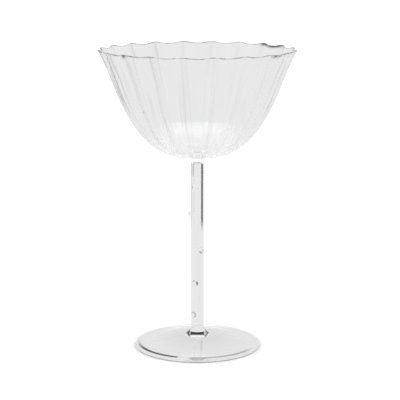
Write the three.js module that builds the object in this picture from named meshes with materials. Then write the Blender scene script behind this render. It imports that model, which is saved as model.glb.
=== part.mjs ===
// Coupe glass worked from clear glass at the flame: a fluted bowl, sealed onto a hollow stem that
// carries small fused drops, on a flared collar and a domed round foot with a rounded edge.
// Millimetres, +Z up. The origin is on the axis at the level that the foot stands on, and the front
// faces -Y.
import * as THREE from 'three';

// Foot
const FOOT_DIAMETER = 71;
const FOOT_CENTRE_HEIGHT = 6;
const FOOT_WEB = 1.5;
const FOOT_WEB_RADIUS = 31;
const FOOT_DOME_POWER = 1.5;
const BEAD_CREST_RADIUS = 33;
const BEAD_HEIGHT = 2.15;
const BEAD_WIDEST_HEIGHT = 0.55;
const BEAD_INNER_REACH = 2.6;
const STAND_WIDTH = 1.6;

// Collar between the foot and the stem
const COLLAR_BASE_DIAMETER = 15;
const COLLAR_HEIGHT = 5.2;
const COLLAR_EDGE = 0.3;
const COLLAR_FLARE_POWER = 1.8;

// Hollow stem, whose bore runs a little way into the seal and the collar
const STEM_DIAMETER = 7.2;
const STEM_BORE = 4.8;
const STEM_LENGTH = 93.6;
const BORE_CORNER = 0.7;
const BORE_ABOVE_STEM = 1.6;
const BORE_BELOW_STEM = 0.7;

// Seal that joins the stem to the bowl
const SEAL_HEIGHT = 4.1;
const SEAL_TOP_DIAMETER = 15;

// Bowl, measured at the bottoms of its flutes up to the rim's crests
const RIM_DIAMETER = 110;
const BOWL_HEIGHT = 58.9;
const BELLY_REACH = 23.5;
const BELLY_RADIUS = 39.6;
const BELLY_RISE = 13.8;
const LIP_FLARE = 1.1;
const LIP_LENGTH = 19.5;
const WALL_AT_LIP = 0.9;
const WALL_AT_BASE = 1.9;

// Flutes of the bowl
const FLUTE_COUNT = 20;
const FLUTE_RIM_DEPTH = 2.2;
const FLUTE_BODY_DEPTH = 0.5;
const FLUTE_CREST_RISE = 0.87;
const FLUTE_START_LENGTH = 12;
const FLUTE_SHARPNESS = 1.5;

// Fused drops: each one's place along the stem, and its turn from the front towards +X in degrees
const DROP_DIAMETER = 3.6;
const DROP_HEIGHT = 1.7;
const DROP_TAPER = 1.3;
const DROP_EDGE = 0.15;
const DROP_SEAT_GAP = 0.06;
const DROP_PLACES = [
  { along: 0.858, turn: -20 },
  { along: 0.694, turn: -90 },
  { along: 0.473, turn: 41 },
  { along: 0.272, turn: -24 },
  { along: 0.074, turn: -38 },
];

// Facets
const FOOT_SIDES = 64;
const STEM_SIDES = 32;
const DROP_SIDES = 12;
const SIDES_PER_FLUTE = 4;
const BEAD_UNDER_STEPS = 3;
const BEAD_OVER_STEPS = 6;
const FLARE_STEPS = 5;
const BORE_CORNER_STEPS = 3;
const LIP_STEPS = 4;
const WALL_STEPS = 12;
const DROP_STEPS = 4;

// Levels up the axis
const COLLAR_Z = FOOT_CENTRE_HEIGHT;
const STEM_Z = COLLAR_Z + COLLAR_HEIGHT;
const SEAL_Z = STEM_Z + STEM_LENGTH;
const BOWL_Z = SEAL_Z + SEAL_HEIGHT;

const point = (radius, height) => new THREE.Vector2(radius, height);
const mix = THREE.MathUtils.lerp;

/** A list of steps + 1 values of a function of t, with t from 0 to 1. */
function sample(steps, shape) {
  return Array.from({ length: steps + 1 }, (unused, i) => shape(i / steps));
}

/** A profile of radius and height turned about the Z axis, with its first facet edge at the front. */
function turned(profile, sides) {
  return new THREE.LatheGeometry(profile, sides).rotateX(Math.PI / 2);
}

/** A named sub-part in clear glass. */
function glass(name, geometry) {
  const material = new THREE.MeshStandardMaterial({ color: 0xe9eeec, roughness: 0.04, metalness: 0 });
  const mesh = new THREE.Mesh(geometry, material);
  mesh.name = name;
  return mesh;
}

/** The bore's closed end, from its edge at the given level round its corner to the axis. */
function boreEnd(level, depth) {
  const flat = STEM_BORE / 2 - BORE_CORNER;
  const corner = BORE_CORNER * Math.sign(depth);
  const turn = sample(BORE_CORNER_STEPS, (t) => {
    const angle = (t * Math.PI) / 2;
    return point(flat + BORE_CORNER * Math.cos(angle), level + depth - corner * (1 - Math.sin(angle)));
  });
  return [point(STEM_BORE / 2, level), ...turn, point(0, level + depth)];
}

/** Foot: a standing ring under a rounded edge, and a domed web of even thickness, hollow underneath. */
function footDisc() {
  const radius = FOOT_DIAMETER / 2;
  const standOuter = BEAD_CREST_RADIUS + STAND_WIDTH / 2;
  const standInner = BEAD_CREST_RADIUS - STAND_WIDTH / 2;
  const under = sample(BEAD_UNDER_STEPS, (t) => {
    const angle = ((t - 1) * Math.PI) / 2;
    const height = BEAD_WIDEST_HEIGHT * (1 + Math.sin(angle));
    return point(mix(standOuter, radius, Math.cos(angle)), height);
  });
  const lastAngle = Math.acos((FOOT_WEB_RADIUS - BEAD_CREST_RADIUS) / BEAD_INNER_REACH);
  const over = sample(BEAD_OVER_STEPS, (t) => {
    const angle = lastAngle * t;
    const reach = Math.cos(angle) > 0 ? radius - BEAD_CREST_RADIUS : BEAD_INNER_REACH;
    const height = mix(BEAD_WIDEST_HEIGHT, BEAD_HEIGHT, Math.sin(angle));
    return point(BEAD_CREST_RADIUS + reach * Math.cos(angle), height);
  });
  const edge = over[BEAD_OVER_STEPS];
  const web = sample(FLARE_STEPS, (t) => {
    const rise = 1 - (1 - t) ** FOOT_DOME_POWER;
    return point(mix(edge.x, COLLAR_BASE_DIAMETER / 2, t), mix(edge.y, FOOT_CENTRE_HEIGHT, rise));
  });
  const hollow = web.map((p) => point(p.x, p.y - FOOT_WEB)).reverse();
  const ring = [point(standInner, 0), ...under, ...over.slice(1)];
  const top = [...web.slice(1), point(0, FOOT_CENTRE_HEIGHT)];
  const profile = [point(0, FOOT_CENTRE_HEIGHT - FOOT_WEB), ...hollow, ...ring, ...top];
  return turned(profile, FOOT_SIDES);
}

/** Collar: a solid flare from the foot up to the stem, with the bore's closed end in its top. */
function footCollar() {
  const base = COLLAR_BASE_DIAMETER / 2;
  const flare = sample(FLARE_STEPS, (t) => {
    const radius = mix(STEM_DIAMETER / 2, base, (1 - t) ** COLLAR_FLARE_POWER);
    return point(radius, COLLAR_Z + mix(COLLAR_EDGE, COLLAR_HEIGHT, t));
  });
  const cup = boreEnd(STEM_Z, -BORE_BELOW_STEM);
  const profile = [point(0, COLLAR_Z), point(base, COLLAR_Z), ...flare, ...cup];
  return turned(profile, STEM_SIDES);
}

/** Stem: an open tube. */
function stemTube() {
  const [bore, outside] = [STEM_BORE / 2, STEM_DIAMETER / 2];
  const start = point(bore, STEM_Z);
  const profile = [start, point(outside, STEM_Z), point(outside, SEAL_Z), point(bore, SEAL_Z), start.clone()];
  return turned(profile, STEM_SIDES);
}

/** Seal: a fused neck that flares from the stem to the bowl's flat base, with the bore's end in it. */
function bowlSeal() {
  const fillet = sample(FLARE_STEPS, (t) => {
    const angle = (t * Math.PI) / 2;
    const radius = mix(STEM_DIAMETER / 2, SEAL_TOP_DIAMETER / 2, 1 - Math.cos(angle));
    return point(radius, SEAL_Z + SEAL_HEIGHT * Math.sin(angle));
  });
  const profile = [...boreEnd(SEAL_Z, BORE_ABOVE_STEM).reverse(), ...fillet, point(0, BOWL_Z)];
  return turned(profile, STEM_SIDES);
}

/** How far up the lip a level is: 0 below the lip and 1 at the rim. */
function lipShare(height) {
  return Math.max(0, (height - (BOWL_Z + BOWL_HEIGHT - LIP_LENGTH)) / LIP_LENGTH);
}

/** The bowl's outer wall at the bottoms of the flutes, from its flat base to the rim. */
function outerWall() {
  const rim = RIM_DIAMETER / 2 - FLUTE_RIM_DEPTH - LIP_FLARE;
  const curve = new THREE.CubicBezierCurve(
    point(SEAL_TOP_DIAMETER / 2, BOWL_Z),
    point(BELLY_REACH, BOWL_Z),
    point(BELLY_RADIUS, BOWL_Z + BELLY_RISE),
    point(rim, BOWL_Z + BOWL_HEIGHT - WALL_AT_LIP / 2),
  );
  return curve.getSpacedPoints(WALL_STEPS).map((p) => point(p.x + LIP_FLARE * lipShare(p.y) ** 2, p.y));
}

/** The bowl's inner wall, offset from the outer one by a wall that thins towards the lip. */
function innerWall(outer) {
  return outer.map((p, i) => {
    const before = outer[Math.max(0, i - 1)];
    const after = outer[Math.min(outer.length - 1, i + 1)];
    const along = after.clone().sub(before).normalize();
    const wall = mix(WALL_AT_BASE, WALL_AT_LIP, i / (outer.length - 1));
    return point(p.x - along.y * wall, p.y + along.x * wall);
  });
}

/** The rounded lip, a half circle from the outer wall's end to the inner wall's end. */
function lipRound(outerEnd, innerEnd) {
  const centre = outerEnd.clone().add(innerEnd).multiplyScalar(0.5);
  const arm = outerEnd.clone().sub(centre);
  return sample(LIP_STEPS, (t) => arm.clone().rotateAround(point(0, 0), t * Math.PI).add(centre));
}

/** Bowl: a turned wall whose points are then moved out and up along its flutes. */
function flutedBowl() {
  const outer = outerWall();
  const inner = innerWall(outer);
  const lip = lipRound(outer[WALL_STEPS], inner[WALL_STEPS]).slice(1, -1);
  const floor = point(0, inner[0].y);
  const profile = [point(0, BOWL_Z), ...outer, ...lip, ...inner.reverse(), floor];
  const geometry = turned(profile, FLUTE_COUNT * SIDES_PER_FLUTE);
  const position = geometry.getAttribute('position');
  for (let i = 0; i < position.count; i += 1) {
    const [x, y, z] = [position.getX(i), position.getY(i), position.getZ(i)];
    const radius = Math.hypot(x, y);
    const turn = Math.atan2(x, -y);
    const wave = (1 - Math.cos(FLUTE_COUNT * turn)) / 2;
    const crest = wave ** FLUTE_SHARPNESS;
    const start = THREE.MathUtils.smoothstep(radius - SEAL_TOP_DIAMETER / 2, 0, FLUTE_START_LENGTH);
    const lipRise = lipShare(z) ** 2;
    const depth = FLUTE_BODY_DEPTH * start + (FLUTE_RIM_DEPTH - FLUTE_BODY_DEPTH) * lipRise;
    const grown = radius > 0 ? 1 + (depth * crest) / radius : 1;
    position.setXYZ(i, x * grown, y * grown, z + FLUTE_CREST_RISE * lipRise * crest);
  }
  return geometry;
}

/** A fused drop: a small dome turned about the Z axis, then seated on the stem's round side. */
function drop({ along, turn }) {
  const radius = DROP_DIAMETER / 2;
  const seat = STEM_DIAMETER / 2 + DROP_SEAT_GAP;
  const dome = sample(DROP_STEPS - 1, (t) => {
    const angle = (t * Math.PI * (DROP_STEPS - 1)) / (2 * DROP_STEPS);
    return point(radius * Math.cos(angle), mix(DROP_EDGE, DROP_HEIGHT, Math.sin(angle) ** DROP_TAPER));
  });
  const back = sample(DROP_STEPS, (t) => point(radius * t, 0));
  const geometry = turned([...back, ...dome, point(0, DROP_HEIGHT)], DROP_SIDES);
  const position = geometry.getAttribute('position');
  const height = STEM_Z + STEM_LENGTH * along;
  for (let i = 0; i < position.count; i += 1) {
    const [across, up, out] = [position.getX(i), position.getY(i), position.getZ(i)];
    const reach = Math.sqrt(seat ** 2 - across ** 2) + out;
    position.setXYZ(i, across, -reach, height + up);
  }
  return geometry.rotateZ(THREE.MathUtils.degToRad(turn));
}

const coupe = new THREE.Group();
coupe.name = 'coupe_glass';
coupe.add(glass('foot_disc', footDisc()));
coupe.add(glass('foot_collar', footCollar()));
coupe.add(glass('stem_tube', stemTube()));
coupe.add(glass('bowl_seal', bowlSeal()));
coupe.add(glass('bowl', flutedBowl()));
DROP_PLACES.forEach((place, i) => {
  coupe.add(glass(`drop_${i + 1}`, drop(place)));
});

export default coupe;
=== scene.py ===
"""Clear fluted coupe glass, dressed and lit on a pale studio floor.

Lengths are in metres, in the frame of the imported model: the origin is the centre of the foot's
underside, +Z runs up the stem to the bowl's mouth and -Y points to the front.
"""
from __future__ import annotations

import logging
import math
from abc import ABC, abstractmethod
from dataclasses import dataclass, replace
from enum import Enum
from typing import Any, Callable, Sequence

import bmesh
import bpy
from mathutils import Matrix, Vector
from mathutils.geometry import interpolate_bezier


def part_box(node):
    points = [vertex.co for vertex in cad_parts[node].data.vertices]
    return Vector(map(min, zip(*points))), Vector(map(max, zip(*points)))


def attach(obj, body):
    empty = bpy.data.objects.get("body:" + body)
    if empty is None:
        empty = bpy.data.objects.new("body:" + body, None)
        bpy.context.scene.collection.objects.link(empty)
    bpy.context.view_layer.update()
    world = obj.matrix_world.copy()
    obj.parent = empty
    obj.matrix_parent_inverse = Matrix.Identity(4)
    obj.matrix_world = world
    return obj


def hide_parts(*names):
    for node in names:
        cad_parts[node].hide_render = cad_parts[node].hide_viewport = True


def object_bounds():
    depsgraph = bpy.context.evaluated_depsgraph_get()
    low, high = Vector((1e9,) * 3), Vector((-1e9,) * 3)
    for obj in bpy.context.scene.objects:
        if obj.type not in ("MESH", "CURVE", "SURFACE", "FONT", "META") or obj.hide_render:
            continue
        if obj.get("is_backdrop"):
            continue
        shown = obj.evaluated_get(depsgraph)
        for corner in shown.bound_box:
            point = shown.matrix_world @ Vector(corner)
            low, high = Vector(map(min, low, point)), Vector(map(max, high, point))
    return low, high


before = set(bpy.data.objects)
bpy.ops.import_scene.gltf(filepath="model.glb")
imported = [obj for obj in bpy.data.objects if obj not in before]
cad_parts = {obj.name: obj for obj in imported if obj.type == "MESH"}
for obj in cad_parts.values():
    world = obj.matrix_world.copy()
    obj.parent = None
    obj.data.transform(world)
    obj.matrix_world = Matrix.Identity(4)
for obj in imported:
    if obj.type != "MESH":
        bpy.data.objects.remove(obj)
CAD_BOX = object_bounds()

LOG = logging.getLogger("coupe")
BODY = "root"
MM = 0.001
MERGE_DISTANCE = 1e-7
PROFILE_SHARE = "profile_share"
WHITE = (1.0, 1.0, 1.0, 1.0)
NOISE_ROUGHNESS = 0.5
MIX_FIRST, MIX_SECOND, MIX_RESULT = 6, 7, 2

Profile = list[Vector]
Colour = tuple[float, float, float]
Scale = tuple[float, float, float]
Span = tuple[float, float]
Window = tuple[float, float, float, float]

ALL_ROUND: Window = (-4.0, -3.9, 3.9, 4.0)


class Value:
    """A shader value whose arithmetic adds Math nodes."""

    def __init__(self, graph: "Graph", socket: bpy.types.NodeSocket) -> None:
        """Wrap an output socket of a node tree."""
        self.graph = graph
        self.socket = socket

    def math(self, operation: str, *others: "Value | float") -> "Value":
        """Add one Math node that starts from this value.

        Args:
            operation: Name of the Math node's operation.
            others: The node's further inputs.

        Returns:
            The node's result.
        """
        sockets = dict(enumerate((self, *others)))
        return self.graph.value("ShaderNodeMath", {"operation": operation}, sockets)

    def __add__(self, other: "Value | float") -> "Value":
        """Sum of two values."""
        return self.math("ADD", other)

    def __sub__(self, other: "Value | float") -> "Value":
        """Difference of two values."""
        return self.math("SUBTRACT", other)

    def __rsub__(self, other: float) -> "Value":
        """Number minus this value."""
        return (self * -1.0) + other

    def __mul__(self, other: "Value | float") -> "Value":
        """Product of two values."""
        return self.math("MULTIPLY", other)

    def __lt__(self, other: "Value | float") -> "Value":
        """One where this value is the smaller, zero elsewhere."""
        return self.math("LESS_THAN", other)

    def __gt__(self, other: "Value | float") -> "Value":
        """One where this value is the larger, zero elsewhere."""
        return self.math("GREATER_THAN", other)

    __radd__ = __add__

    def at_least(self, other: "Value | float") -> "Value":
        """The larger of two values."""
        return self.math("MAXIMUM", other)

    def window(self, start: float, full: float, ease: float, end: float) -> "Value":
        """One between two limits, easing to zero outside them."""
        return self.ramp(start, full) * self.ramp(ease, end, 1.0, 0.0)

    def ramp(self, low: float, high: float, at_low: float = 0.0, at_high: float = 1.0) -> "Value":
        """Blend smoothly between two results as this value goes from low to high."""
        sockets = {"Value": self, "From Min": low, "From Max": high, "To Min": at_low, "To Max": at_high}
        return self.graph.value("ShaderNodeMapRange", {"interpolation_type": "SMOOTHSTEP"}, sockets)


class Graph:
    """A node tree that is filled by one method."""

    def __init__(self, tree: bpy.types.NodeTree) -> None:
        """Start from an emptied node tree."""
        self.tree = tree
        tree.nodes.clear()

    def node(self, kind: str, settings: dict[str, Any] | None = None,
             sockets: dict[str | int, Any] | None = None) -> bpy.types.Node:
        """Add a node.

        Args:
            kind: The node's type.
            settings: Its properties, set before its sockets.
            sockets: Its inputs by name or number, each a value, a socket or a plain number.

        Returns:
            The new node.
        """
        made = self.tree.nodes.new(kind)
        for name, setting in (settings or {}).items():
            setattr(made, name, setting)
        for key, given in (sockets or {}).items():
            source = given.socket if isinstance(given, Value) else given
            if isinstance(source, bpy.types.NodeSocket):
                self.tree.links.new(source, made.inputs[key])
            else:
                made.inputs[key].default_value = source
        return made

    def value(self, kind: str, settings: dict[str, Any] | None = None,
              sockets: dict[str | int, Any] | None = None, output: str | int = 0) -> Value:
        """Add a node and wrap one of its outputs."""
        return Value(self, self.node(kind, settings, sockets).outputs[output])

    def place(self) -> bpy.types.NodeSocket:
        """Object coordinates of the shaded point."""
        return self.node("ShaderNodeTexCoord").outputs["Object"]

    def noise(self, scale: Scale, detail: float = 1.0) -> Value:
        """Noise on object coordinates, with its own scale along each axis.

        Args:
            scale: Waves per metre along X, Y and Z.
            detail: Octaves of finer noise.

        Returns:
            The noise, from zero to one.
        """
        mapped = self.node("ShaderNodeMapping", None, {"Vector": self.place(), "Scale": scale})
        sockets = {"Vector": mapped.outputs[0], "Scale": 1.0, "Detail": detail,
                   "Roughness": NOISE_ROUGHNESS}
        return self.value("ShaderNodeTexNoise", None, sockets)

    def axes(self) -> tuple[Value, Value, Value]:
        """The shaded point's X, Y and Z."""
        split = self.node("ShaderNodeSeparateXYZ", None, {0: self.place()})
        return tuple(Value(self, split.outputs[axis]) for axis in "XYZ")

    def turn(self) -> Value:
        """The shaded point's turn about the axis, from the front towards +X."""
        across, back, _ = self.axes()
        return across.math("ARCTAN2", back * -1.0)

    def radius(self) -> Value:
        """The shaded point's distance from the axis."""
        across, back, _ = self.axes()
        return (across * across + back * back).math("SQRT")

    def along_profile(self) -> Value:
        """The shaded point's share of the turned profile."""
        return self.value("ShaderNodeAttribute", {"attribute_name": PROFILE_SHARE}, None, "Fac")

    def mixed_colour(self, share: Value, first: Any, second: Colour) -> bpy.types.NodeSocket:
        """Blend a colour or a colour socket towards a second colour by a share from zero to one."""
        sockets = {"Factor": share, MIX_FIRST: first, MIX_SECOND: (*second, 1)}
        return self.node("ShaderNodeMix", {"data_type": "RGBA"}, sockets).outputs[MIX_RESULT]

    def white(self, kind: str, strength: Value | float) -> bpy.types.Node:
        """Add a white emission or background of a strength."""
        return self.node(kind, None, {"Color": WHITE, "Strength": strength})

    def mixed_shader(self, share: Value, first: bpy.types.Node,
                     second: bpy.types.Node) -> bpy.types.Node:
        """Blend two shaders by a share from zero to one."""
        sockets = {0: share, 1: first.outputs[0], 2: second.outputs[0]}
        return self.node("ShaderNodeMixShader", None, sockets)

    def show(self, shader: bpy.types.Node, output: str = "ShaderNodeOutputMaterial") -> None:
        """Lead a shader to the tree's output."""
        self.node(output, None, {"Surface": shader.outputs[0]})


def new_material(name: str) -> tuple[bpy.types.Material, Graph]:
    """Make a material and the empty graph of its nodes."""
    made = bpy.data.materials.new(name)
    made.use_nodes = True
    return made, Graph(made.node_tree)


class Mark(ABC):
    """A place on the glass with its own tint, which paints shade into the glass's colour."""

    tint: Colour

    @abstractmethod
    def share(self, graph: Graph) -> Value:
        """How strongly the mark covers the shaded point, from zero to one."""


@dataclass(frozen=True)
class CrestShade(Mark):
    """Painted shade: thin dark lines along the flutes' crests, with a softer painted shade beside each.
    """

    tint: Colour
    count: int
    fade: Window = (-30 * MM, 15 * MM, 1.4, 0.4)
    levels: Span = (110 * MM, 122 * MM)
    line: Window = (0.45, 0.49, 0.51, 0.55)
    line_depth: float = 0.6
    shade: Window = (0.5, 0.51, 0.51, 0.8)
    shade_depth: float = 0.34
    grain: Scale = (90, 90, 14)
    evenness: Window = (0.3, 0.7, 0.4, 1.0)

    def share(self, graph: Graph) -> Value:
        """Strongest on the lines, weaker in the shade, and fading to one side and towards the base; the
        painted shade is heaviest on the left.
        """
        across, _, level = graph.axes()
        phase = (graph.turn() * (self.count / math.tau)).math("FRACT")
        uneven = graph.noise(self.grain).ramp(*self.evenness)
        lines = phase.window(*self.line) * self.line_depth
        shades = phase.window(*self.shade) * self.shade_depth
        return (lines + shades) * uneven * across.ramp(*self.fade) * level.ramp(*self.levels)


@dataclass(frozen=True)
class LipShade(Mark):
    """Painted shade on the fire-polished lip, where light is lost along the wall, all round or between
    two turns.
    """

    tint: Colour
    window: Window
    turns: Window = ALL_ROUND
    unevenness: float = 0.5
    grain: Scale = (220, 220, 60)
    patches: Span = (0.35, 0.65)

    def share(self, graph: Graph) -> Value:
        """Strong round the lip, with uneven places."""
        uneven = graph.noise(self.grain).ramp(*self.patches, 1.0 - self.unevenness, 1.0)
        return graph.along_profile().window(*self.window) * graph.turn().window(*self.turns) * uneven


@dataclass(frozen=True)
class WeldShade(Mark):
    """Painted shade: a dark ring of the profile beside a weld, darker in places."""

    tint: Colour
    window: Window
    grain: float
    evenness: Span

    def share(self, graph: Graph) -> Value:
        """Strong where the ring is uneven."""
        uneven = graph.noise((self.grain,) * 3).ramp(*self.evenness)
        return graph.along_profile().window(*self.window) * uneven


@dataclass(frozen=True)
class RimShade(Mark):
    """Painted shade: a dark line along the foot's rounded edge, on some sides, standing in for the
    standing ring seen dark through the glass.
    """

    tint: Colour
    radii: Window = (32.3 * MM, 32.6 * MM, 34.2 * MM, 34.6 * MM)
    lowest: float = 0.9 * MM
    left: Window = (-1.75, -1.1, -0.36, -0.28)
    right: Window = (-0.16, -0.08, 0.85, 1.2)
    right_depth: float = 0.7

    def share(self, graph: Graph) -> Value:
        """The painted shade is strong at the front to the left and weaker to the right."""
        turn = graph.turn()
        sides = turn.window(*self.left) + turn.window(*self.right) * self.right_depth
        above = graph.axes()[2] > self.lowest
        return graph.radius().window(*self.radii) * above * sides


@dataclass(frozen=True)
class CentreShade(Mark):
    """Painted shade: a deeper tint towards the middle of the foot, where it meets the collar."""

    tint: Colour
    reach: Span = (8 * MM, 28 * MM)

    def share(self, graph: Graph) -> Value:
        """Strongest at the middle."""
        return graph.radius().ramp(*self.reach, 1.0, 0.0)


@dataclass(frozen=True)
class GlassFinish:
    """Clear flame-worked glass: a faint grey-green tint, drawn streaks, a hand-worked surface and marks
    of painted shade.
    """

    name: str
    thin_tint: Colour
    thick_tint: Colour
    streak_scale: Scale
    wave_scale: Scale
    wave_height: float
    marks: tuple[Mark, ...] = ()
    ior: float = 1.47
    streak_detail: float = 3.0
    tinted: Span = (0.3, 0.7)
    hazy: Span = (0.35, 0.75)
    clearest: float = 0.0
    haziest: float = 0.012

    def material(self, kept: Callable[[Graph], Value] | None = None) -> bpy.types.Material:
        """Make the material.

        Args:
            kept: Gives the surface's alpha where part of it is fused to another piece.

        Returns:
            The glass as a procedural material.
        """
        made, graph = new_material(self.name)
        streaks = graph.noise(self.streak_scale, self.streak_detail)
        waves = graph.noise(self.wave_scale)
        bump = graph.node("ShaderNodeBump", None,
                          {"Strength": 1.0, "Distance": self.wave_height, "Height": waves})
        colour = graph.mixed_colour(streaks.ramp(*self.tinted), (*self.thin_tint, 1), self.thick_tint)
        # Each mark paints shade into the base colour.
        for mark in self.marks:
            colour = graph.mixed_colour(mark.share(graph), colour, mark.tint)
        sockets = {
            "Base Color": colour,
            "Roughness": streaks.ramp(*self.hazy, self.clearest, self.haziest),
            "Normal": bump.outputs[0],
            "IOR": self.ior,
            "Transmission Weight": 1.0,
        }
        if kept is not None:
            sockets["Alpha"] = kept(graph)
        graph.show(graph.node("ShaderNodeBsdfPrincipled", None, sockets))
        return made


def fused_seam() -> bpy.types.Material:
    """Inside faces where two pieces of glass are fused, which light crosses unchanged."""
    made, graph = new_material("fused_seam")
    sockets = {"Transmission Weight": 1.0, "Alpha": 0.0}
    graph.show(graph.node("ShaderNodeBsdfPrincipled", None, sockets))
    return made


class Face(Enum):
    """Material slot of a face."""

    GLASS = 0
    SEAM = 1


def point(radius: float, height: float) -> Vector:
    """A profile point in the XZ plane."""
    return Vector((radius, 0.0, height))


def sampled(steps: int, shape: Callable[[float], Vector]) -> Profile:
    """Points of a curve at equal steps of its parameter from zero to one."""
    return [shape(step / steps) for step in range(steps + 1)]


def mix(first: float, second: float, share: float) -> float:
    """Blend two numbers."""
    return first + (second - first) * share


def smooth(share: float) -> float:
    """Ease from zero to one, held at both ends."""
    held = min(1.0, max(0.0, share))
    return held * held * (3.0 - 2.0 * held)


class Turning:
    """A closed glass solid turned about the Z axis from a profile."""

    CREASE = math.radians(50)

    def __init__(self, profile: Profile, steps: int, closed: bool = False) -> None:
        """Spin a profile all the way round.

        Args:
            profile: Points from the axis back to the axis, or round a ring's section.
            steps: Number of steps in the full turn.
            closed: Whether the last point joins the first.
        """
        self.mesh = bmesh.new()
        self.share = self.mesh.verts.layers.float.new(PROFILE_SHARE)
        verts = [self.mesh.verts.new(place) for place in profile]
        for step, vert in enumerate(verts):
            vert[self.share] = step / (len(verts) - 1)
        ends = verts[1:] + verts[:1] if closed else verts[1:]
        edges = [self.mesh.edges.new(pair) for pair in zip(verts, ends)]
        bmesh.ops.spin(self.mesh, geom=[*verts, *edges], cent=(0, 0, 0), axis=(0, 0, 1), dvec=(0, 0, 0),
                       angle=math.tau, steps=steps, use_merge=True, use_duplicate=False)
        bmesh.ops.remove_doubles(self.mesh, verts=self.mesh.verts, dist=MERGE_DISTANCE)
        bmesh.ops.recalc_face_normals(self.mesh, faces=self.mesh.faces)

    def seam(self, fused: Callable[[Vector], bool]) -> None:
        """Give the faces whose centre is fused to a neighbour the seam's slot."""
        for face in self.mesh.faces:
            if fused(face.calc_center_median()):
                face.material_index = Face.SEAM.value

    def move(self, shape: Callable[[Vector, float], Vector]) -> None:
        """Move every vertex to where a function of its place and its share of the profile puts it."""
        for vert in self.mesh.verts:
            vert.co = shape(vert.co, vert[self.share])

    def piece(self, name: str, node: str, materials: Sequence[bpy.types.Material]) -> bpy.types.Object:
        """Finish the mesh as a piece that stands for a CAD node.

        Args:
            name: The piece's name.
            node: The CAD node that it replaces.
            materials: Its glass, then its seam where it has one.

        Returns:
            The piece's object, riding on the glass's body.
        """
        for face in self.mesh.faces:
            face.smooth = True
        for edge in self.mesh.edges:
            slots = {face.material_index for face in edge.link_faces}
            edge.smooth = len(slots) == 1 and edge.calc_face_angle(0.0) < self.CREASE
        data = bpy.data.meshes.new(name)
        self.mesh.to_mesh(data)
        self.mesh.free()
        for material in materials:
            data.materials.append(material)
        made = bpy.data.objects.new(name, data)
        bpy.context.scene.collection.objects.link(made)
        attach(made, BODY)
        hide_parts(node)
        LOG.info("%s: %d faces, stands for %s", name, len(data.polygons), node)
        return made


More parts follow.
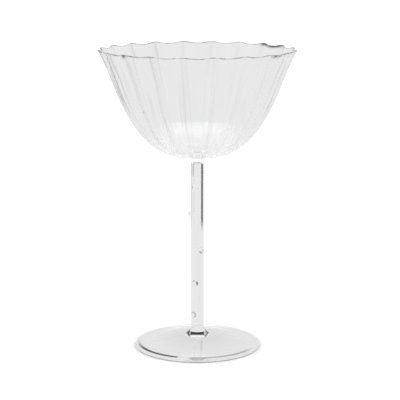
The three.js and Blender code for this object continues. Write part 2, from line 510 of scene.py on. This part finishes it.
@dataclass
class Bowl:
    """Blown bowl with pointed flutes that run up to a scalloped, flared rim."""

    base_z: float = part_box("bowl")[0].z
    base_radius: float = 7.5 * MM
    rim_radius: float = 55 * MM
    height: float = 58.9 * MM
    belly_reach: float = 23.5 * MM
    belly_radius: float = 39.6 * MM
    belly_rise: float = 13.8 * MM
    lip_flare: float = 1.1 * MM
    lip_length: float = 19.5 * MM
    wall_at_lip: float = 0.9 * MM
    wall_at_base: float = 1.9 * MM
    flutes: int = 20
    rim_depth: float = 2.2 * MM
    outer_depth: float = 0.6 * MM
    inner_depth: float = 0.4 * MM
    crest_rise: float = 0.8 * MM
    flute_start: float = 12 * MM
    crest_margin: float = 0.1 * MM
    outer_sharpness: float = 2.5
    inner_sharpness: float = 1.2
    rim_sharpness: float = 1.6
    wall_steps: int = 56
    lip_steps: int = 20
    steps_per_flute: int = 20

    def lip_share(self, level: float) -> float:
        """How far up the lip a level is, from zero below it to one at the rim."""
        return max(0.0, (level - (self.base_z + self.height - self.lip_length)) / self.lip_length)

    def outer_wall(self) -> Profile:
        """The outer wall at the bottoms of the flutes, from the flat base to the rim."""
        rim = self.rim_radius - self.rim_depth - self.lip_flare
        curve = interpolate_bezier(
            point(self.base_radius, self.base_z),
            point(self.belly_reach, self.base_z),
            point(self.belly_radius, self.base_z + self.belly_rise),
            point(rim, self.base_z + self.height - self.wall_at_lip / 2),
            self.wall_steps + 1)
        return [point(p.x + self.lip_flare * self.lip_share(p.z) ** 2, p.z) for p in curve]

    def inner_wall(self, outer: Profile) -> Profile:
        """The inner wall, offset by a thickness that falls towards the lip."""
        inner = []
        for step, place in enumerate(outer):
            along = outer[min(step + 1, self.wall_steps)] - outer[max(step - 1, 0)]
            along.normalize()
            wall = mix(self.wall_at_base, self.wall_at_lip, step / self.wall_steps)
            inner.append(place + Vector((-along.z, 0.0, along.x)) * wall)
        return inner

    def lip(self, outer_end: Vector, inner_end: Vector) -> Profile:
        """The half round between the two walls' upper ends, without its end points."""
        centre = (outer_end + inner_end) / 2
        arm = outer_end - centre
        up = Vector((-arm.z, 0.0, arm.x))
        turns = [math.pi * step / self.lip_steps for step in range(1, self.lip_steps)]
        return [centre + arm * math.cos(turn) + up * math.sin(turn) for turn in turns]

    def fluted(self, place: Vector, share: float) -> Vector:
        """Move a point of the turned wall out and up along its flute.

        Args:
            place: The point on the turned wall.
            share: Its share of the profile, from the base's centre round the lip to the floor's centre.

        Returns:
            The point on the fluted wall.
        """
        radius = math.hypot(place.x, place.y)
        if radius < self.base_radius:
            return place
        turn = math.atan2(place.x, -place.y)
        wave = (1.0 - math.cos(self.flutes * turn)) / 2
        inside = smooth((share - 0.5) * self.wall_steps / self.lip_steps + 0.5)
        start = smooth((radius - self.base_radius) / self.flute_start)
        rise = self.lip_share(place.z) ** 2
        body = mix(self.outer_depth * wave ** self.outer_sharpness,
                   self.inner_depth * wave ** self.inner_sharpness, inside)
        crest = wave ** self.rim_sharpness
        depth = mix(body * start, (self.rim_depth - self.crest_margin) * crest, min(1.0, rise))
        grown = 1.0 + depth / radius
        return Vector((place.x * grown, place.y * grown, place.z + self.crest_rise * rise * crest))

    def build(self, glass: bpy.types.Material, seam: bpy.types.Material) -> bpy.types.Object:
        """Model the bowl.

        Args:
            glass: The bowl's glass.
            seam: The fused face under the bowl.

        Returns:
            The bowl's object.
        """
        outer = self.outer_wall()
        inner = self.inner_wall(outer)
        lip = self.lip(outer[-1], inner[-1])
        floor = point(0.0, inner[0].z)
        profile = [point(0.0, self.base_z), *outer, *lip, *reversed(inner), floor]
        turning = Turning(profile, self.flutes * self.steps_per_flute)
        turning.seam(lambda centre: centre.z < self.base_z + MERGE_DISTANCE)
        turning.move(self.fluted)
        return turning.piece("fluted_bowl", "bowl", [glass, seam])


@dataclass
class Drop:
    """Small glass drop fused to the side of the stem."""

    level: float
    turn: float
    finish: GlassFinish
    diameter: float = 3.6 * MM
    height: float = 1.7 * MM
    taper: float = 1.3
    edge: float = 0.01 * MM
    rings: int = 16
    steps: int = 48

    def across_and_out(self) -> tuple[Vector, Vector]:
        """Directions along the stem's side and straight out of it at this drop."""
        across = Vector((math.cos(self.turn), math.sin(self.turn), 0.0))
        return across, Vector((math.sin(self.turn), -math.cos(self.turn), 0.0))

    def footprint(self, graph: Graph) -> Value:
        """One on the stem's surface under the drop, zero elsewhere."""
        across, out = self.across_and_out()
        place = graph.place()

        def along(direction: Vector) -> Value:
            settings = {"operation": "DOT_PRODUCT"}
            return graph.value("ShaderNodeVectorMath", settings, {0: place, 1: direction}, "Value")

        sideways = along(across)
        upward = along(Vector((0.0, 0.0, 1.0))) - self.level
        near = (sideways * sideways + upward * upward) < (self.diameter / 2) ** 2
        return near * (along(out) > 0.0)

    def build(self, number: int, seat: float, glass: bpy.types.Material,
              seam: bpy.types.Material) -> bpy.types.Object:
        """Model the drop as a dome that is laid on the stem's round side.

        Args:
            number: The drop's number, from the top of the stem.
            seat: The stem's radius.
            glass: The drop's glass.
            seam: The fused face against the stem.

        Returns:
            The drop's object.
        """
        radius = self.diameter / 2
        back = sampled(self.rings, lambda t: point(radius * t, 0.0))

        def dome_point(t: float) -> Vector:
            swell = math.sin(t * math.pi / 2) ** self.taper
            return point(radius * math.cos(t * math.pi / 2), mix(self.edge, self.height, swell))

        turning = Turning([*back, *sampled(self.rings, dome_point)], self.steps)
        turning.seam(lambda centre: centre.z < self.edge / 4)
        across, out = self.across_and_out()

        def seated(place: Vector, share: float) -> Vector:
            reach = math.sqrt(seat ** 2 - place.x ** 2) + place.z
            return across * place.x + out * reach + Vector((0.0, 0.0, self.level + place.y))

        turning.move(seated)
        return turning.piece(f"fused_drop_{number}", f"drop_{number}", [glass, seam])


@dataclass
class Stem:
    """Hollow drawn stem with fused drops, and the seal that joins it to the bowl."""

    base_z: float = 11.2 * MM
    top_z: float = 104.8 * MM
    seal_top_z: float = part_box("bowl_seal")[1].z
    seal_radius: float = 7.5 * MM
    radius: float = 3.6 * MM
    bore_radius: float = 2.4 * MM
    bore_corner: float = 0.7 * MM
    bore_above: float = 1.6 * MM
    bore_below: float = 0.7 * MM
    tube_rows: int = 60
    curve_steps: int = 20
    steps: int = 96

    def drops(self) -> list[Drop]:
        """The drops, from the top of the stem down, each with its turn from the front towards +X."""
        places = (
            (0.858, -20, CLEAR_DROP_GLASS),
            (0.694, -90, CLEAR_DROP_GLASS),
            (0.473, 41, DROP_GLASS),
            (0.272, -24, DROP_GLASS),
            (0.074, -38, SOFT_DROP_GLASS),
        )
        return [Drop(mix(self.base_z, self.top_z, along), math.radians(turn), finish)
                for along, turn, finish in places]

    def bore_end(self, level: float, depth: float) -> Profile:
        """The bore's closed end, from its edge at a level round its corner to the axis."""
        corner = math.copysign(self.bore_corner, depth)
        inner = self.bore_radius - self.bore_corner

        def corner_point(t: float) -> Vector:
            turn = t * math.pi / 2
            return point(inner + self.bore_corner * math.cos(turn),
                         level + depth - corner + corner * math.sin(turn))

        return [point(self.bore_radius, level), *sampled(self.curve_steps // 2, corner_point),
                point(0.0, level + depth)]

    def kept(self, graph: Graph) -> Value:
        """The tube's alpha: clear where a drop is fused to it."""
        return 1.0 - sum(drop.footprint(graph) for drop in self.drops())

    def build_tube(self, glass: bpy.types.Material, seam: bpy.types.Material) -> bpy.types.Object:
        """Model the open tube."""
        side = sampled(self.tube_rows, lambda t: point(self.radius, mix(self.base_z, self.top_z, t)))
        bore = sampled(self.tube_rows,
                       lambda t: point(self.bore_radius, mix(self.top_z, self.base_z, t)))
        turning = Turning([*side, *bore], self.steps, closed=True)
        ends = (self.base_z, self.top_z)
        turning.seam(lambda centre: min(abs(centre.z - end) for end in ends) < MERGE_DISTANCE)
        return turning.piece("drawn_stem", "stem_tube", [glass, seam])

    def build_seal(self, glass: bpy.types.Material, seam: bpy.types.Material) -> bpy.types.Object:
        """Model the fused neck that flares from the tube to the bowl."""
        height = self.seal_top_z - self.top_z

        def fillet_point(t: float) -> Vector:
            turn = t * math.pi / 2
            return point(mix(self.radius, self.seal_radius, 1 - math.cos(turn)),
                         self.top_z + height * math.sin(turn))

        crown = self.bore_end(self.top_z, self.bore_above)
        fillet = sampled(self.curve_steps, fillet_point)
        turning = Turning([*reversed(crown), *fillet, point(0.0, self.seal_top_z)], self.steps)
        ends = (self.top_z, self.seal_top_z)
        turning.seam(lambda centre: min(abs(centre.z - end) for end in ends) < MERGE_DISTANCE)
        return turning.piece("fused_seal", "bowl_seal", [glass, seam])


@dataclass
class Foot:
    """Domed round foot with a thick rounded edge, and the flared collar that carries the stem."""

    stem: Stem
    radius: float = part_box("foot_disc")[1].x
    centre_z: float = 6.0 * MM
    collar_radius: float = 7.5 * MM
    bead_crest: float = 33.0 * MM
    bead_inset: float = 2.6 * MM
    bead_height: float = 2.15 * MM
    widest_z: float = 0.55 * MM
    stand_width: float = 1.6 * MM
    web_radius: float = 31.0 * MM
    web: float = 1.5 * MM
    dome_power: float = 1.5
    collar_edge: float = 0.15 * MM
    flare_power: float = 1.8
    curve_steps: int = 28
    steps: int = 192

    def build_disc(self, glass: bpy.types.Material, seam: bpy.types.Material) -> bpy.types.Object:
        """Model the foot's standing ring, rounded edge and domed web, hollow underneath."""
        out = self.radius - self.bead_crest
        up = self.bead_height - self.widest_z
        last = math.pi - math.acos((self.bead_crest - self.web_radius) / self.bead_inset)

        def under_edge(t: float) -> Vector:
            turn = mix(-math.pi / 2, 0.0, t)
            lower = out - self.stand_width / 2
            return point(self.radius - lower + lower * math.cos(turn),
                         self.widest_z * (1 + math.sin(turn)))

        def over_edge(t: float) -> Vector:
            turn = mix(0.0, last, t)
            reach = out if turn < math.pi / 2 else self.bead_inset
            return point(self.bead_crest + reach * math.cos(turn), self.widest_z + up * math.sin(turn))

        bead = [*sampled(self.curve_steps // 2, under_edge), *sampled(self.curve_steps, over_edge)[1:]]
        inner = bead[-1]

        def web_point(t: float) -> Vector:
            rise = 1 - (1 - t) ** self.dome_power
            return point(mix(inner.x, self.collar_radius, t), mix(inner.z, self.centre_z, rise))

        top = sampled(self.curve_steps, web_point)
        under = [place - Vector((0.0, 0.0, self.web)) for place in reversed(top)]
        hollow = point(0.0, self.centre_z - self.web)
        stand = point(self.bead_crest - self.stand_width / 2, 0.0)
        profile = [hollow, *under, stand, *bead, *top[1:], point(0.0, self.centre_z)]
        turning = Turning(profile, self.steps)
        turning.seam(lambda place: place.z > self.centre_z - MERGE_DISTANCE)
        return turning.piece("round_foot", "foot_disc", [glass, seam])

    def build_collar(self, glass: bpy.types.Material, seam: bpy.types.Material) -> bpy.types.Object:
        """Model the solid flare from the foot up to the tube, with the bore's closed end in it."""
        top_z = self.stem.base_z
        flare = sampled(self.curve_steps, lambda t: point(
            mix(self.stem.radius, self.collar_radius, (1 - t) ** self.flare_power),
            mix(self.centre_z + self.collar_edge, top_z, t)))
        cup = self.stem.bore_end(top_z, -self.stem.bore_below)
        base = [point(0.0, self.centre_z), point(self.collar_radius, self.centre_z)]
        turning = Turning([*base, *flare, *cup], self.stem.steps)
        ends = (self.centre_z, top_z)
        turning.seam(lambda centre: min(abs(centre.z - end) for end in ends) < MERGE_DISTANCE)
        return turning.piece("flared_collar", "foot_collar", [glass, seam])


@dataclass(frozen=True)
class Card:
    """Standing card, curved round the glass, dark to the named pieces and white to the others."""

    name: str
    reach: float
    levels: Window
    turns: Span
    dark_to: tuple[str, ...]
    cover: float = 1.0

    def profile(self) -> Profile:
        """The card's upright section."""
        return [point(self.reach, self.levels[0]), point(self.reach, self.levels[-1])]


NEAR_FOOT = ("flared_collar", "fused_drop_3", "fused_drop_4")
CARDS = (
    Card("stem_card", 0.08, (0.048, 0.058, 0.098, 0.0985), (26.0, 84.0), ("drawn_stem",)),
    Card("stem_left_card", 0.08, (0.083, 0.085, 0.098, 0.0985), (-36.0, -26.0), ("drawn_stem",)),
    Card("bowl_left_card", 0.3, (0.05, 0.06, 0.1, 0.11), (-34.0, -20.0), ("fluted_bowl",), 0.65),
    Card("bowl_right_card", 0.3, (0.05, 0.06, 0.1, 0.11), (21.5, 27.5), ("fluted_bowl",), 0.65),
    Card("collar_card", 1.0, (0.03, 0.07, 0.32, 0.42), (-78.0, 78.0), NEAR_FOOT),
)


@dataclass
class Studio:
    """Pale floor, white surroundings, a round light overhead, dark cards and the camera."""

    floor_radius: float = 8.0
    floor_z: float = -0.2 * MM
    floor_segments: int = 96
    floor_colour: Colour = (0.9, 0.9, 0.9)
    floor_glow: float = 0.24
    white_in_glass: float = 0.83
    dome: float = 1.0
    softbox_radius: float = 0.16
    softbox_segments: int = 64
    softbox_place: tuple[float, float, float] = (0.0, 0.12, 0.32)
    softbox_glows: Span = (2.9, 1.5)
    softbox_fade: Span = (0.0, 0.08)
    card_steps: int = 12
    camera_place: tuple[float, float, float] = (0.0, -779.8 * MM, 234.3 * MM)
    camera_pitch: float = math.radians(10.913)
    sensor_width: float = 36.0
    focal_pixels: float = 1414.5
    image_pixels: int = 400
    axis_pixel: float = 197.45
    bounces: int = 512

    def rays(self, graph: Graph, *kinds: str) -> Value:
        """One for light paths of the named kinds, zero for the others."""
        paths = graph.node("ShaderNodeLightPath")
        found = [Value(graph, paths.outputs[kind]) for kind in kinds]
        total = found[0]
        for kind in found[1:]:
            total = total.at_least(kind)
        return total

    def staged(self, name: str, mesh: bmesh.types.BMesh,
               material: bpy.types.Material) -> bpy.types.Object:
        """Make a stage object, which isn't part of the glass."""
        data = bpy.data.meshes.new(name)
        mesh.to_mesh(data)
        mesh.free()
        data.materials.append(material)
        made = bpy.data.objects.new(name, data)
        bpy.context.scene.collection.objects.link(made)
        made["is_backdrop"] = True
        return made

    def build_floor(self) -> None:
        """Lay the floor: white where it is seen, and plain matt where light falls on it."""
        material, graph = new_material("pale_floor")
        matt = graph.node("ShaderNodeBsdfDiffuse", None, {"Color": (*self.floor_colour, 1)})
        glow = graph.white("ShaderNodeEmission", self.floor_glow)
        shown = graph.node("ShaderNodeAddShader", None, {0: glow.outputs[0], 1: matt.outputs[0]})
        glass = graph.white("ShaderNodeEmission", self.white_in_glass)
        in_glass = self.rays(graph, "Is Glossy Ray", "Is Transmission Ray")
        lit = graph.mixed_shader(in_glass, matt, glass)
        graph.show(graph.mixed_shader(self.rays(graph, "Is Camera Ray"), lit, shown))
        mesh = bmesh.new()
        bmesh.ops.create_circle(mesh, cap_ends=True, radius=self.floor_radius,
                                segments=self.floor_segments)
        bmesh.ops.translate(mesh, verts=mesh.verts, vec=(0, 0, self.floor_z))
        self.staged("studio_floor", mesh, material)

    def build_world(self) -> None:
        """Set the surroundings: even white in the glass, and an even dome for the floor."""
        world = bpy.data.worlds.new("studio")
        world.use_nodes = True
        bpy.context.scene.world = world
        graph = Graph(world.node_tree)
        shown = graph.white("ShaderNodeBackground", self.white_in_glass)
        even = graph.white("ShaderNodeBackground", self.dome)
        plain = graph.white("ShaderNodeBackground", 1.0)
        in_glass = self.rays(graph, "Is Glossy Ray", "Is Transmission Ray")
        lit = graph.mixed_shader(in_glass, even, shown)
        mixed = graph.mixed_shader(self.rays(graph, "Is Camera Ray"), lit, plain)
        graph.show(mixed, "ShaderNodeOutputWorld")

    def build_softbox(self) -> None:
        """Hang a wide round light over the glass, brighter towards the front."""
        material, graph = new_material("softbox")
        material.cycles.emission_sampling = "NONE"
        strength = graph.axes()[1].ramp(*self.softbox_fade, *self.softbox_glows)
        graph.show(graph.white("ShaderNodeEmission", strength))
        mesh = bmesh.new()
        bmesh.ops.create_circle(mesh, cap_ends=True, radius=self.softbox_radius,
                                segments=self.softbox_segments)
        bmesh.ops.translate(mesh, verts=mesh.verts, vec=self.softbox_place)
        box = self.staged("softbox", mesh, material)
        box.visible_camera = False
        box.visible_diffuse = False

    def build_sector(self, name: str, profile: Profile, turns: Span,
                     material: bpy.types.Material) -> bpy.types.Object:
        """Make a card, spun part of the way round the glass, that only the glass sees.

        Args:
            name: The card's name.
            profile: Its section, as points out from the axis.
            turns: Where it begins and ends, in degrees from straight behind the glass to the right.
            material: Its material.

        Returns:
            The card's object.
        """
        first, last = (math.radians(turn) for turn in turns)
        mesh = bmesh.new()
        verts = [mesh.verts.new(place) for place in profile]
        edges = [mesh.edges.new(pair) for pair in zip(verts, verts[1:])]
        bmesh.ops.rotate(mesh, verts=verts, matrix=Matrix.Rotation(math.pi / 2 - first, 3, "Z"))
        bmesh.ops.spin(mesh, geom=[*verts, *edges], cent=(0, 0, 0), axis=(0, 0, -1), dvec=(0, 0, 0),
                       angle=last - first, steps=self.card_steps, use_duplicate=False)
        made = self.staged(name, mesh, material)
        made.visible_camera = False
        made.visible_diffuse = False
        made.visible_shadow = False
        return made

    def build_card(self, card: Card, pieces: Sequence[bpy.types.Object]) -> None:
        """Stand a card up, with soft edges, and let it glow for the pieces that it isn't dark to."""
        material, graph = new_material(card.name)
        material.cycles.emission_sampling = "NONE"
        cover = graph.axes()[2].window(*card.levels) * card.cover
        clear = graph.node("ShaderNodeBsdfTransparent")
        glow = graph.white("ShaderNodeEmission", self.white_in_glass)
        graph.show(graph.mixed_shader(cover, clear, glow))
        made = self.build_sector(card.name, card.profile(), card.turns, material)
        lit = bpy.data.collections.new(f"lit_by_{card.name}")
        for piece in pieces:
            if piece.name not in card.dark_to:
                lit.objects.link(piece)
        made.light_linking.receiver_collection = lit

    def build_camera(self) -> None:
        """Stand the camera where the photograph was taken from."""
        data = bpy.data.cameras.new("camera")
        data.sensor_width = self.sensor_width
        data.lens = self.sensor_width * self.focal_pixels / self.image_pixels
        data.shift_x = 0.5 - self.axis_pixel / self.image_pixels
        made = bpy.data.objects.new("camera", data)
        made.location = self.camera_place
        made.rotation_euler = (math.pi / 2 - self.camera_pitch, 0.0, 0.0)
        bpy.context.scene.collection.objects.link(made)
        bpy.context.scene.camera = made

    def build(self, pieces: Sequence[bpy.types.Object]) -> None:
        """Set up the camera, the floor and the light round the glass's pieces."""
        scene = bpy.context.scene
        scene.view_settings.view_transform = "Standard"
        scene.cycles.max_bounces = self.bounces
        scene.cycles.glossy_bounces = self.bounces
        scene.cycles.transmission_bounces = self.bounces
        scene.cycles.transparent_max_bounces = self.bounces
        scene.cycles.caustics_refractive = False
        scene.cycles.caustics_reflective = False
        self.build_camera()
        self.build_floor()
        self.build_world()
        self.build_softbox()
        for card in CARDS:
            self.build_card(card, pieces)


# Windows, colours and grain of the painted shade on the lip and beside the drops' welds.
LIP = (0.4254, 0.4328, 0.5672, 0.5746)
LIP_AND_EDGES = (0.42, 0.426, 0.574, 0.58)
LIP_GREY = (0.15, 0.151, 0.15)
LIP_BLACK = (0.004, 0.004, 0.004)
DROP_WELD = (0.48, 0.52, 0.7, 0.82)
DROP_GRAIN = 350

BOWL_GLASS = GlassFinish(
    name="blown_glass",
    thin_tint=(0.995, 0.997, 0.996),
    thick_tint=(0.975, 0.978, 0.977),
    streak_scale=(90, 90, 14),
    wave_scale=(120, 120, 40),
    wave_height=0.006 * MM,
    # Painted shade: dark lines along the crests, a grey line round the lip and black accents on it at
    # some turns.
    marks=(
        CrestShade((0.8, 0.804, 0.802), 20),
        LipShade(LIP_GREY, LIP),
        LipShade(LIP_BLACK, LIP_AND_EDGES, (1.95, 2.1, 2.36, 2.42), 0.3),
        LipShade((0.05, 0.05, 0.05), LIP_AND_EDGES, (0.8, 0.86, 0.98, 1.04), 0.5),
        LipShade(LIP_BLACK, LIP_AND_EDGES, (-1.48, -1.44, -1.38, -1.34), 0.2),
        LipShade(LIP_BLACK, LIP_AND_EDGES, (-0.85, -0.82, -0.79, -0.75), 0.4),
    ))
STEM_GLASS = GlassFinish(
    name="drawn_glass",
    thin_tint=(0.99, 0.993, 0.992),
    thick_tint=(0.975, 0.979, 0.977),
    streak_scale=(400, 400, 12),
    wave_scale=(300, 300, 15),
    wave_height=0.002 * MM)
# The foot's glass is tinted greyer than the other pieces as painted shade, with painted shade deepening
# towards its middle and a painted dark line along its edge.
FOOT_GLASS = GlassFinish(
    name="shaded_foot_glass",
    thin_tint=(0.935, 0.939, 0.937),
    thick_tint=(0.915, 0.919, 0.917),
    streak_scale=(60, 60, 60),
    wave_scale=(120, 120, 120),
    wave_height=0.03 * MM,
    marks=(CentreShade((0.83, 0.834, 0.832)), RimShade((0.001, 0.001, 0.001))))
COLLAR_GLASS = GlassFinish(
    name="collar_glass",
    thin_tint=(0.98, 0.984, 0.982),
    thick_tint=(0.965, 0.969, 0.967),
    streak_scale=(60, 60, 60),
    wave_scale=(120, 120, 120),
    wave_height=0.01 * MM)
CLEAR_DROP_GLASS = replace(
    STEM_GLASS,
    name="clear_drop_glass",
    streak_scale=(300, 300, 300),
    wave_scale=(500, 500, 500),
    wave_height=0.01 * MM)
DROP_GLASS = replace(
    CLEAR_DROP_GLASS,
    name="drop_glass",
    # Painted shade: a dark ring beside the weld.
    marks=(WeldShade((0.05, 0.05, 0.05), DROP_WELD, DROP_GRAIN, (0.44, 0.6)),))
SOFT_DROP_GLASS = replace(
    CLEAR_DROP_GLASS,
    name="soft_drop_glass",
    # Painted shade: a grey ring beside the weld.
    marks=(WeldShade((0.42, 0.42, 0.42), DROP_WELD, DROP_GRAIN, (0.3, 0.5)),))
SEAL_GLASS = replace(
    CLEAR_DROP_GLASS,
    name="seal_glass",
    # Painted shade: a grey ring on the seal beside the weld, darker in places.
    marks=(WeldShade((0.4, 0.4, 0.4), (0.06, 0.12, 0.3, 0.36), 60, (-0.4, 0.3)),))


def save_sizes() -> None:
    """Gather the CAD box and the dressed model's box."""
    boxes = {"cad": CAD_BOX, "visual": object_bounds()}
    {name: [list(corner) for corner in box] for name, box in boxes.items()}


def main() -> None:
    """Build the studio and the glass, piece by piece."""
    logging.basicConfig(level=logging.INFO)
    seam = fused_seam()
    stem = Stem()
    foot = Foot(stem)
    drop_finishes = (DROP_GLASS, CLEAR_DROP_GLASS, SOFT_DROP_GLASS)
    drop_glasses = {finish: finish.material() for finish in drop_finishes}
    pieces = [
        foot.build_disc(FOOT_GLASS.material(), seam),
        foot.build_collar(COLLAR_GLASS.material(), seam),
        stem.build_tube(STEM_GLASS.material(stem.kept), seam),
        stem.build_seal(SEAL_GLASS.material(), seam),
        Bowl().build(BOWL_GLASS.material(), seam),
    ]
    for number, drop in enumerate(stem.drops(), start=1):
        pieces.append(drop.build(number, stem.radius, drop_glasses[drop.finish], seam))
    Studio().build(pieces)
    save_sizes()


if __name__ == "__main__":
    main()
